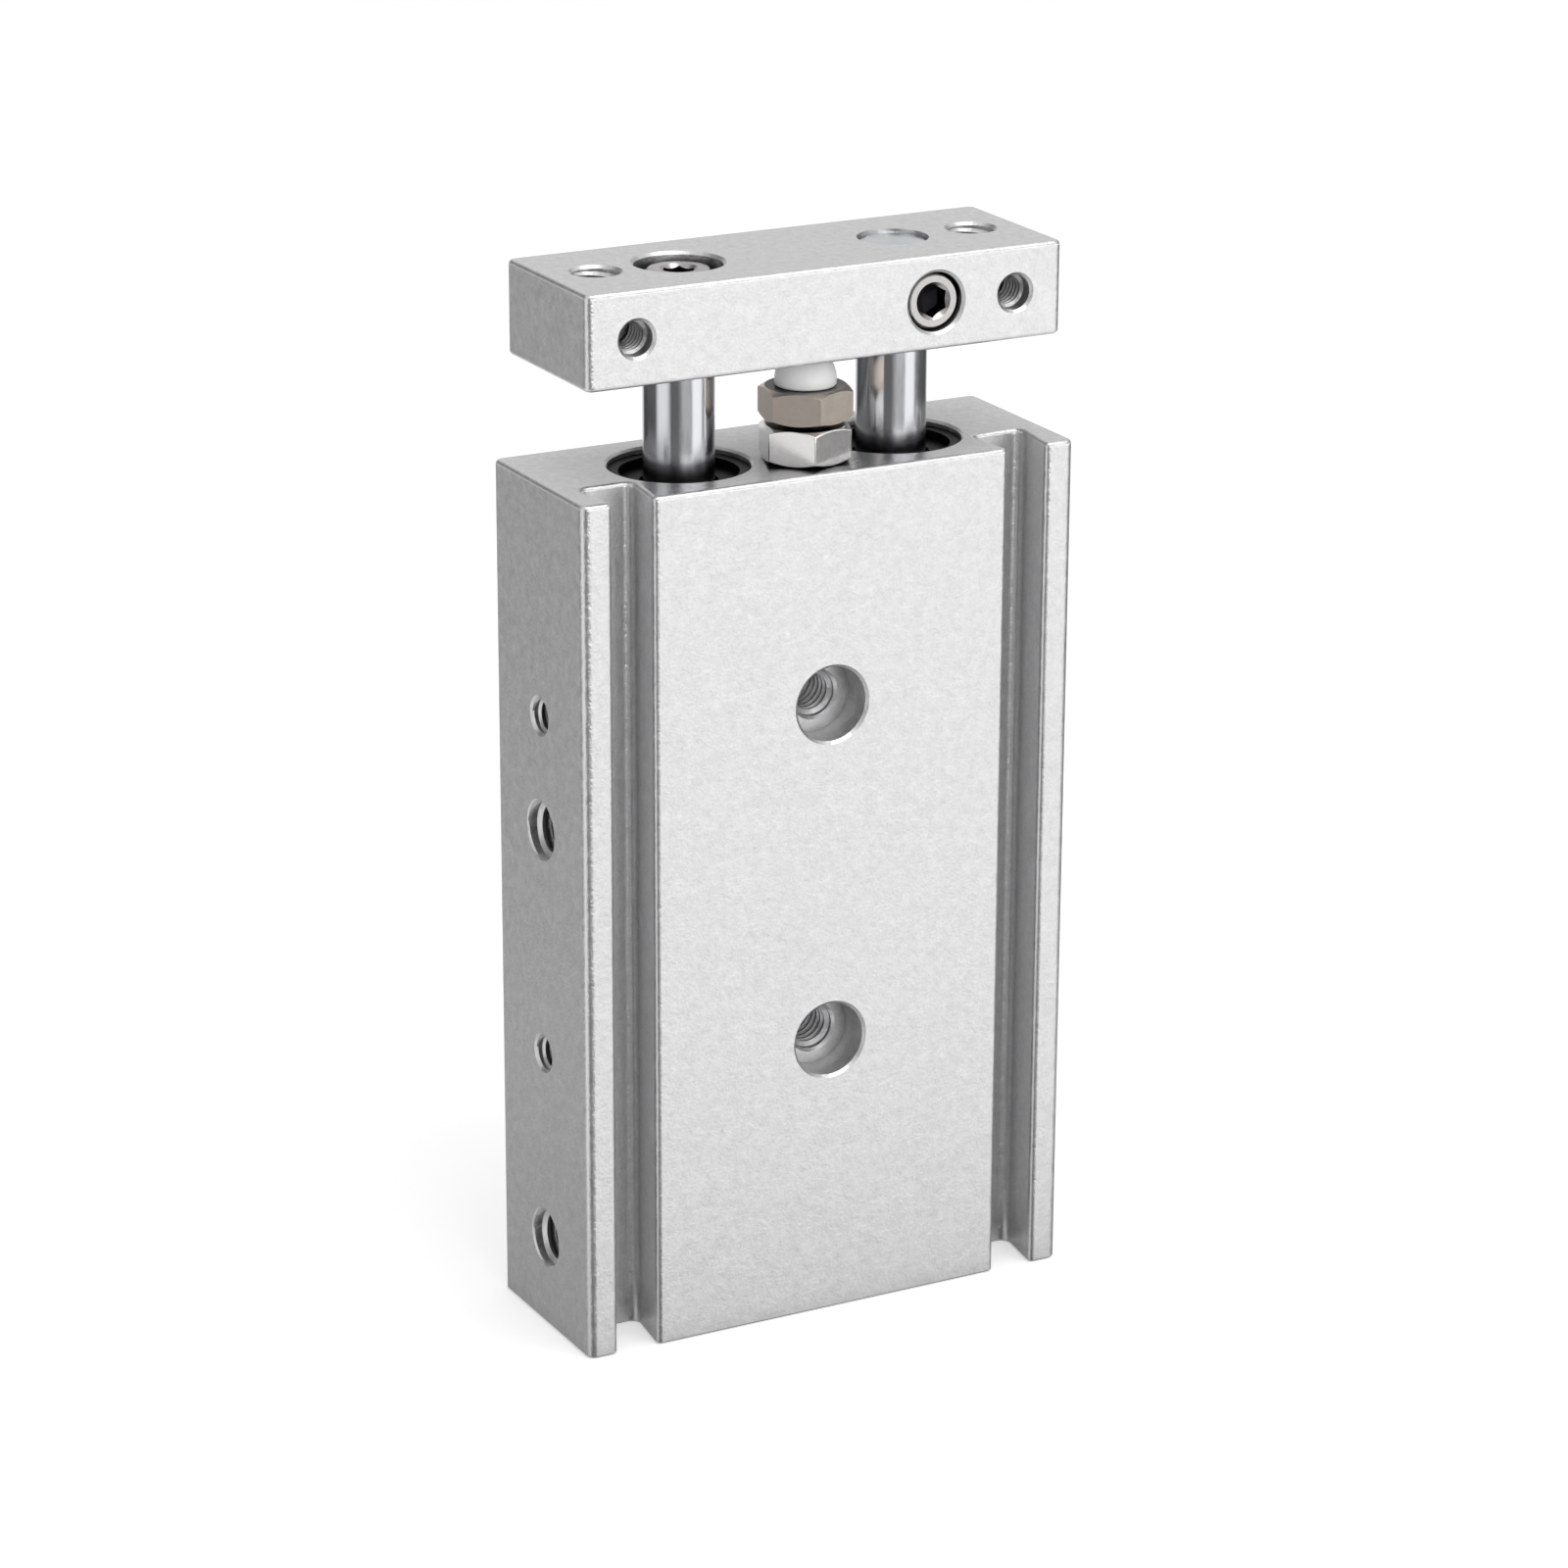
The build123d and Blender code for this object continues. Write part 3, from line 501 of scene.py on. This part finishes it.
def make_bolt(materials):
    """Stop bolt: chamfered hexagon head with a pocket for the bumper, and a threaded shank."""
    end, end_radius = 62.5 * MM, 1.4 * MM
    root, crest, neck = 1.62 * MM, 1.99 * MM, 1.75 * MM
    pocket, pocket_depth, pocket_bevel = 1.49 * MM, 1.5 * MM, 0.13 * MM
    thread = threaded_rings(root, crest, M4[1], end, HEAD_LOW - 0.06 * MM)
    end_taper = 3
    rings = [round_ring(end_radius, end)] + thread[end_taper:]
    rings.append(round_ring(neck, HEAD_LOW - 0.03 * MM))
    rings.append(round_ring(M4[0], HEAD_LOW))
    rings.append(round_ring(HEX_FACE_RADIUS, HEAD_LOW))
    rings += chamfered_hex_rings(HEAD_LOW, HEAD_HIGH)
    rings.append(round_ring(HEX_FACE_RADIUS, HEAD_HIGH))
    rings.append(round_ring(pocket + pocket_bevel, HEAD_HIGH))
    rings.append(round_ring(pocket, HEAD_HIGH - pocket_bevel))
    rings.append(round_ring(pocket, HEAD_HIGH - pocket_depth))
    points, faces = skin(rings)
    points = on_bolt_axis(points, HEAD_TURN)
    bolt = mesh_piece("stop_bolt", points, faces, materials["nickel"], "bumper_bolt", sharp=25.0)
    soften(bolt, 0.06 * MM)
    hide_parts("bumper_bolt")


def make_nut(materials):
    """Lock nut with both faces chamfered and a bevelled bore."""
    bore, bevelled, bevel_depth = 2.02 * MM, 2.3 * MM, 0.3 * MM
    rings = [
        round_ring(bore, NUT_LOW + bevel_depth), round_ring(bevelled, NUT_LOW),
        round_ring(HEX_FACE_RADIUS, NUT_LOW), *chamfered_hex_rings(NUT_LOW, NUT_HIGH),
        round_ring(HEX_FACE_RADIUS, NUT_HIGH), round_ring(bevelled, NUT_HIGH),
        round_ring(bore, NUT_HIGH - bevel_depth)]
    points, faces = skin(rings, closed_profile=True)
    points = on_bolt_axis(points, NUT_TURN)
    nut = mesh_piece("stop_nut", points, faces, materials["zinc"], "lock_nut", sharp=25.0)
    soften(nut, 0.07 * MM)
    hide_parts("lock_nut")


def make_bumper(materials):
    """White domed bumper with a rounded base and a stem in the bolt's head."""
    seat = HEAD_HIGH + 0.05 * MM
    stem_radius, stem_length = 1.45 * MM, 1.5 * MM
    base_radius, lip, lip_centre = 2.45 * MM, 0.18 * MM, 2.42 * MM
    dome_core, dome_bulge, dome_power = 1.2 * MM, 1.38 * MM, 0.95
    dome_foot, dome_rise = 0.45 * MM, 2.08 * MM
    tip_radius, tip_height = 0.9 * MM, 2.545 * MM
    steps = 14
    outline = [(stem_radius, seat - stem_length), (stem_radius, seat), (base_radius, seat)]
    outline += arc((lip_centre, seat + lip), lip, -90, 10, 4)
    for i in range(1, steps + 1):
        angle = i / steps * pi / 2
        radius = dome_core + dome_bulge * cos(angle) ** dome_power
        outline.append((radius, seat + dome_foot + dome_rise * sin(angle)))
    outline.append((tip_radius, seat + tip_height))
    points, faces = skin([round_ring(radius, z) for radius, z in outline])
    points = on_bolt_axis(points)
    bumper = mesh_piece(
        "dome_bumper", points, faces, materials["urethane"], "bumper", sharp=40.0)
    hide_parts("bumper")


def headless_screw_rings(length, tip_radius):
    """Rings of a headless M5 socket screw with its face at z = 0 and its length along -Z."""
    radius, pitch = M5
    root, chamfer = 2.08 * MM, 0.35 * MM
    edge_radius, edge_drop, face_radius = 2.26 * MM, 0.3 * chamfer, 2.15 * MM
    rings = [round_ring(tip_radius, -length)]
    rings += threaded_rings(root, radius, pitch, -length + (radius - tip_radius), -chamfer)
    rings += [round_ring(edge_radius, -edge_drop), round_ring(face_radius, 0.0)]
    rings += socket_rings(0.0, lip=0.16 * MM, drop=0.14 * MM, count=ROUND)
    return rings


def paint_socket_shade(piece, material, count):
    """Paints the shade inside a socket: gives its walls, cone and tip, which are its piece's last faces, a
    darker material of their own.
    """
    piece.data.materials.append(material)
    faces = piece.data.polygons
    tip = len(faces) - 1
    spans_end = tip - 1
    for face in faces:
        if face.index == tip or spans_end - 2 * count <= face.index < spans_end:
            face.material_index = 1


def make_set_screw(materials):
    """Headless screw in the plate's front, against the right rod."""
    points, faces = skin(headless_screw_rings(length=4.3 * MM, tip_radius=1.75 * MM))
    spin = Matrix.Rotation(radians(90.0), 3, "Z")
    points = [tuple(spin @ Vector(point)) for point in points]
    face = PLATE_FRONT + 0.5 * MM
    points = placed(points, (ROD_AXES["right"], face, PLATE_MIDDLE), (0, -1, 0))
    screw = mesh_piece(
        "set_screw", points, faces, materials["screw_steel"], "carriage", sharp=30.0)
    # The socket's black inside is painted shade
    paint_socket_shade(screw, materials["black_steel"], ROUND)
    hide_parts("rod_set_screw")


def make_cap_screw(materials):
    """Socket head cap screw with a knurled head."""
    head, knurl = 2.75 * MM, 0.1 * MM
    low, high = 88.5 * MM, 91.5 * MM
    knurls = 36
    end, end_chamfer = 78.5 * MM, 0.3 * MM

    def knurled(z, size):
        ring = []
        for j in range(KNURL_ROUND):
            angle = 2 * pi * j / KNURL_ROUND
            wave = abs(2 * ((j * knurls / KNURL_ROUND) % 1.0) - 1)
            radius = head - size * wave
            ring.append((radius * cos(angle), radius * sin(angle), z))
        return ring

    shank = [(M3[0] - end_chamfer, end), (M3[0], end + end_chamfer), (M3[0], low), (head - 0.12 * MM, low)]
    crown = [
        (head - 0.05 * MM, high - 0.2 * MM), (head - 0.22 * MM, high - 0.04 * MM), (head - 0.4 * MM, high)]
    rings = [round_ring(radius, z, KNURL_ROUND) for radius, z in shank]
    rings += [knurled(low + 0.1 * MM, 0.0), knurled(low + 0.35 * MM, knurl),
              knurled(high - 0.55 * MM, knurl), knurled(high - 0.4 * MM, 0.0)]
    rings += [round_ring(radius, z, KNURL_ROUND) for radius, z in crown]
    rings += socket_rings(high, lip=0.2 * MM, drop=0.16 * MM, count=KNURL_ROUND)
    points, faces = skin(rings)
    points = [(x + ROD_AXES["left"], y, z) for x, y, z in points]
    screw = mesh_piece(
        "cap_screw", points, faces, materials["screw_steel"], "carriage", sharp=30.0)
    # The socket's black inside is painted shade
    paint_socket_shade(screw, materials["black_steel"], KNURL_ROUND)
    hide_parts("plate_cap_screw")


def make_plugs(materials):
    """Headless plugs in the right face's ports."""
    face = HALF_WIDTH - 0.3 * MM
    for name, z in PORT_HEIGHTS.items():
        points, faces = skin(headless_screw_rings(length=4.0 * MM, tip_radius=1.9 * MM))
        points = placed(points, (face, 0.0, z), (1, 0, 0))
        piece = mesh_piece("plug_" + name, points, faces, materials["zinc"], "body", sharp=30.0)
    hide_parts("port_plugs")


def soft_ring(name, outline, x, material, body, sharp):
    """Ring turned about the upright axis at x in place of the CAD node of that name."""
    points, faces = skin(lathe(outline, x), closed_profile=True)
    piece = mesh_piece("soft_" + name, points, faces, material, body, sharp)
    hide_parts(name)


def from_millimetres(outline):
    return [(radius * MM, z * MM) for radius, z in outline]


def make_soft_rings(materials):
    """O-rings, seals and bumper rings inside the bores, with rounded edges."""
    nitrile, urethane = materials["nitrile"], materials["dark_urethane"]
    o_ring_heights = {"rod_cover_o_ring_": 62.5 * MM, "head_cover_o_ring_": 4.7 * MM}
    o_ring_middle, o_ring_cord = 4.45 * MM, 0.495 * MM
    rod_seal = from_millimetres([
        (3.06, 70.12), (3.02, 70.2), (3.1, 71.2), (3.02, 72.2), (3.1, 72.29), (4.6, 72.29), (4.67, 72.2),
        (4.58, 71.2), (4.67, 70.2), (4.62, 70.12), (4.40, 70.12), (3.86, 71.2), (3.82, 71.2), (3.34, 70.12)])
    piston_seal = from_millimetres([
        (3.49, 17.4), (3.49, 19.0), (3.6, 19.09), (4.6, 19.09), (4.97, 18.8), (4.80, 18.2), (4.97, 17.6),
        (4.6, 17.31), (3.6, 17.31)])
    bumper_rings = (
        ("rod_bumper_", 3.03, 4.31, 20.51, 21.49, "carriage"),
        ("head_bumper_", 1.51, 4.29, 6.01, 6.99, "body"))
    for side, x in ROD_AXES.items():
        for name, height in o_ring_heights.items():
            outline = arc((o_ring_middle, height), o_ring_cord, 0, 345, 23)
            soft_ring(name + side, outline, x, nitrile, "body", sharp=60.0)
        soft_ring("rod_seal_" + side, rod_seal, x, nitrile, "body", sharp=50.0)
        soft_ring("piston_seal_" + side, piston_seal, x, nitrile, "carriage", sharp=50.0)
        for name, inner, outer, low, high, body in bumper_rings:
            outline = from_millimetres([
                (inner, low + 0.15), (inner, high - 0.15), (inner + 0.15, high), (outer - 0.25, high),
                (outer - 0.07, high - 0.08), (outer, high - 0.25), (outer, low + 0.25),
                (outer - 0.07, low + 0.08), (outer - 0.25, low), (inner + 0.15, low)])
            soft_ring(name + side, outline, x, urethane, body, sharp=50.0)


def make_threads(materials):
    """Threads in every tapped hole that opens to the outside."""
    here = materials["anodised"]
    for name, z in HOLE_HEIGHTS.items():
        for side, x in (("left", -HALF_WIDTH), ("right", HALF_WIDTH)):
            hole_thread("thread_side_" + side + "_" + name, (x, 0, z), (-x / HALF_WIDTH, 0, 0), M3,
                        start=0.35 * MM, length=4.3 * MM, material=here, body="body")
        hole_thread("thread_mount_" + name, (0, COUNTERBORE_FLOOR, z), (0, 1, 0), M4,
                    start=0.5 * MM, length=9.4 * MM, material=here, body="body")
    for name, z in PORT_HEIGHTS.items():
        hole_thread("thread_port_" + name, (-HALF_WIDTH, 0, z), (1, 0, 0), M5,
                    start=0.45 * MM, length=3.6 * MM, material=here, body="body")
    for name, x in PLATE_HOLES.items():
        hole_thread("thread_plate_top_" + name, (x, 0, PLATE_TOP), (0, 0, -1), M4,
                    start=0.6 * MM, length=6.8 * MM, material=here, body="carriage")
        hole_thread("thread_plate_front_" + name, (x, PLATE_FRONT, PLATE_MIDDLE), (0, 1, 0), M3,
                    start=1.2 * MM, length=3.0 * MM, material=here, body="carriage")


# Materials of the CAD nodes, by the record's slots

def dress_nodes(materials):
    slot_of = {part["node"]: part["material_slot"] for part in frame["record"]["subparts"]}
    for name, node in frame["nodes"].items():
        material = materials[slot_of[name]]
        if not node.material_slots:
            node.data.materials.append(material)
        for place in node.material_slots:
            place.material = material


# Studio: white surroundings for the camera, a soft tent with darker flags for the metal

def make_world():
    world = bpy.data.worlds.new("studio")
    bpy.context.scene.world = world
    nodes = Nodes(world)
    direction = nodes.parts(nodes.coordinates("Generated"))
    height = direction["Z"]
    flat = nodes.add("ShaderNodeCombineXYZ", {"X": direction["X"], "Y": direction["Y"]}).outputs["Vector"]
    level = nodes.vector_math("NORMALIZE", flat)["Vector"]

    def sector(offset, inner, outer):
        """1 within inner degrees of an azimuth given from the camera's, falling to 0 at outer degrees."""
        angle = CAMERA_AZIMUTH + radians(offset)
        along = nodes.vector_math("DOT_PRODUCT", level, (cos(angle), sin(angle), 0.0))["Value"]
        return nodes.smooth(along, cos(radians(outer)), cos(radians(inner)))

    def band(value, none_below, full_from, full_to, none_above):
        """1 between the middle two values, falling to 0 at the outer two."""
        above, below = nodes.smooth(value, none_below, full_from), nodes.smooth(value, none_above, full_to)
        return nodes.math("MULTIPLY", above, below)

    def layer(below, mask, value):
        """Mixes a level of light over what is below it."""
        keep = nodes.math("SUBTRACT", 1.0, mask)
        return nodes.math("ADD", nodes.math("MULTIPLY", below, keep), nodes.math("MULTIPLY", mask, value))

    slope = nodes.math("ABSOLUTE", height)
    low_band = band(height, -0.85, -0.55, 0.28, 0.42)
    rod_band = band(slope, 0.12, 0.18, 0.34, 0.42)
    softbox_band = band(height, -0.22, -0.04, 0.06, 0.26)
    flag_band = band(height, 0.05, 0.20, 0.65, 0.85)
    # Flags and softboxes, in the order in which each covers those before it
    panels = (
        (sector(0, 35, 50), low_band, 0.10),
        (sector(0, 35, 50), rod_band, 0.18),
        (sector(112, 30, 48), rod_band, 0.08),
        (sector(-108, 28, 44), rod_band, 0.05),
        (sector(-122, 20, 34), flag_band, 0.2),
        (sector(50, 28, 52), softbox_band, 3.95),
        (sector(64, 6, 22), low_band, 1.3),
        (sector(-49, 4, 28), low_band, 1.05))
    light = nodes.smooth(height, -0.3, 0.3, 0.80, 0.72)
    for across, upwards, value in panels:
        light = layer(light, nodes.math("MULTIPLY", across, upwards), value)
    strength = layer(light, nodes.seen_directly(), 1.0)
    background = nodes.add("ShaderNodeBackground", {"Color": WHITE, "Strength": strength})
    nodes.finish("ShaderNodeOutputWorld", background.outputs["Background"])


def make_floor():
    """Pale floor under the object: white to the camera, with the object's soft shadow on it. Metal sees the
    tent's lower half through it, with painted shade that darkens this reflection close to the object."""
    size, z = 6.0, -FLOOR_DROP
    glow_strength, reflection_shade_reach, reflection_shade_level = 0.41, 50 * MM, 0.70
    corners = [(-size, -size, z), (size, -size, z), (size, size, z), (-size, size, z)]
    mesh = bpy.data.meshes.new("floor")
    mesh.from_pydata(corners, [], [(0, 1, 2, 3)])
    floor = bpy.data.objects.new("floor", mesh)
    bpy.context.scene.collection.objects.link(floor)
    material = bpy.data.materials.new("pale_floor")
    nodes = Nodes(material)
    place = nodes.coordinates("Object")
    cloud = nodes.noise(place, 20.0, detail=3.0, roughness=0.5)
    colour = nodes.ramp(cloud, [(NOISE_LOW, (0.78, 0.78, 0.78)), (NOISE_HIGH, (0.82, 0.82, 0.82))])
    matte = nodes.add("ShaderNodeBsdfDiffuse", {"Color": colour}).outputs["BSDF"]
    glow = nodes.add("ShaderNodeEmission", {"Color": WHITE, "Strength": glow_strength}).outputs["Emission"]
    lit = nodes.add("ShaderNodeAddShader", {0: matte, 1: glow}).outputs["Shader"]
    direct = nodes.seen_directly()
    surface = nodes.add("ShaderNodeMixShader", {"Fac": direct, 1: matte, 2: lit}).outputs["Shader"]
    # Painted shade in what metal sees of the floor, darker close to the object
    gap = nodes.vector_math("ABSOLUTE", place)["Vector"]
    gap = nodes.vector_math("SUBTRACT", gap, (HALF_WIDTH, HALF_DEPTH, 0.0))["Vector"]
    gap = nodes.vector_math("MAXIMUM", gap)["Vector"]
    gap = nodes.vector_math("LENGTH", gap)["Value"]
    shade = nodes.smooth(gap, 0.0, reflection_shade_reach, reflection_shade_level, 1.0)
    clear = nodes.add("ShaderNodeBsdfTransparent", {"Color": shade})
    mirrored = nodes.add("ShaderNodeLightPath").outputs["Is Glossy Ray"]
    surface = nodes.add("ShaderNodeMixShader", {"Fac": mirrored, 1: surface, 2: clear.outputs["BSDF"]})
    nodes.finish("ShaderNodeOutputMaterial", surface.outputs["Shader"])
    mesh.materials.append(material)


def area_lamp(name, place, target, size, watts):
    """Square soft lamp at place, facing target, unseen by the camera."""
    lamp = bpy.data.lights.new(name, "AREA")
    lamp.shape = "RECTANGLE"
    lamp.size = size
    lamp.size_y = size
    lamp.energy = watts
    holder = bpy.data.objects.new(name, lamp)
    holder.location = place
    holder.rotation_euler = (Vector(target) - Vector(place)).to_track_quat("-Z", "Y").to_euler()
    holder.visible_camera = False
    bpy.context.scene.collection.objects.link(holder)
    return holder


def main():
    make_camera()
    materials = make_materials()
    dress_nodes(materials)
    for make in (make_rods, make_bolt, make_nut, make_bumper, make_set_screw, make_cap_screw, make_plugs,
                 make_soft_rings, make_threads):
        make(materials)
    make_world()
    make_floor()
    area_lamp("top_softbox", place=(0.1, -0.3, 0.7), target=(0, 0, 0.05), size=0.6, watts=2.0)
    fill = area_lamp("front_fill", place=(-0.25, -0.5, 0.12), target=(0, 0, 0.08), size=0.4, watts=0.35)
    fill.visible_glossy = False
    bpy.context.scene.view_settings.view_transform = "Standard"


main()
